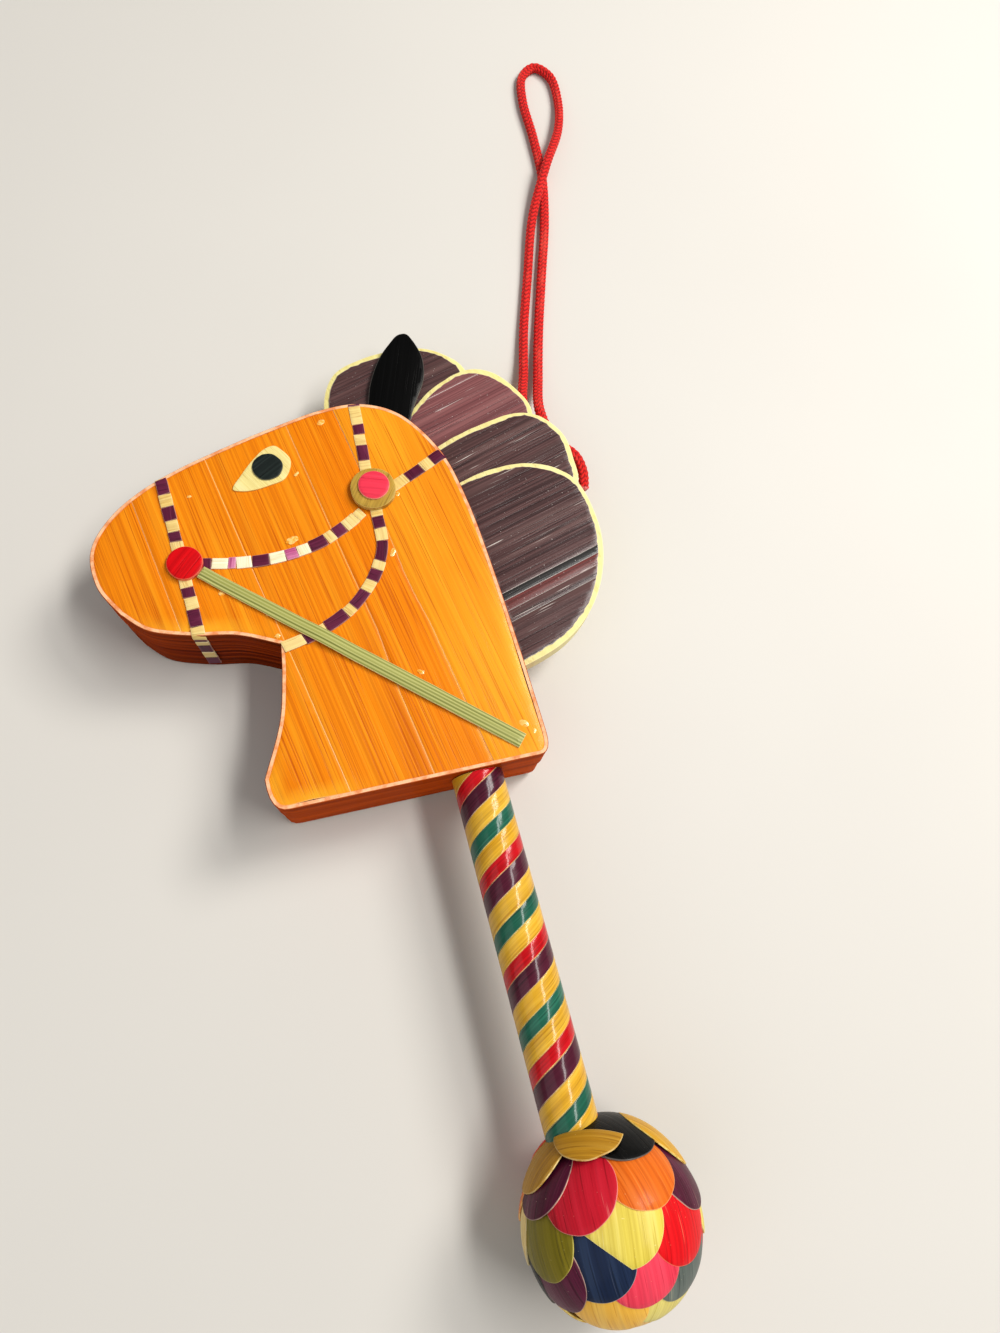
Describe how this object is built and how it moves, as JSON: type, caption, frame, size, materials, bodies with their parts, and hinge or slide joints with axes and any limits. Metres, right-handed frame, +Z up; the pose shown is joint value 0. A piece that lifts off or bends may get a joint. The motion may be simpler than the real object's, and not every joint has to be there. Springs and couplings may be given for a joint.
{
  "type": "hobby horse ornament",
  "caption": "Small straw-covered hobby horse ornament: a flat horse's head with bridle and mane on a spirally wrapped stick, a scaled ball at its foot and a cord to hang it by.",
  "frame": {"origin": "on the table under the middle of the ornament, the cord left out", "axes": "+Y along the stick from the ball to the head, +Z up out of the face, the horse looks to -X"},
  "size_m": [0.1116, 0.228, 0.0253],
  "materials": {
    "straw_orange": "varnished golden orange straw with fine grain",
    "straw_pale": "natural pale straw, satin",
    "straw_mane": "dyed purple brown straw, glossy along the grain",
    "straw_black": "dyed black straw, glossy",
    "strap_straw": "alternating purple and cream straw squares, satin",
    "straw_green": "green straw ribbon, satin",
    "straw_red": "red straw disc, satin",
    "straw_pink": "pink red straw disc, satin",
    "wound_straw": "wound straw ribbons in yellow, green, red and purple, varnished",
    "scale_straw": "overlapping dyed straw scales in many colours, varnished",
    "cord_red": "red knitted cord"
  },
  "bodies": {
    "root": {"head_block": "straw_orange", "face_veneer": "straw_orange", "mane_board": "straw_pale", "ear": "straw_black", "eye_white": "straw_pale", "eye_pupil": "straw_black", "noseband": "strap_straw", "browband": "strap_straw", "crown_strap": "strap_straw", "cheek_strap": "strap_straw", "throat_latch": "strap_straw", "rein": "straw_green", "bit_disc": "straw_red", "rosette_disc": "straw_pale", "rosette_button": "straw_pink", "ball": "scale_straw", "stick": "wound_straw", "hanging_cord": "cord_red", "cord_tail": "cord_red", "cord_knot": "cord_red", "mane_leaf_1": "straw_mane", "mane_leaf_2": "straw_mane", "mane_leaf_3": "straw_mane", "mane_leaf_4": "straw_mane"}
  },
  "joints": []
}
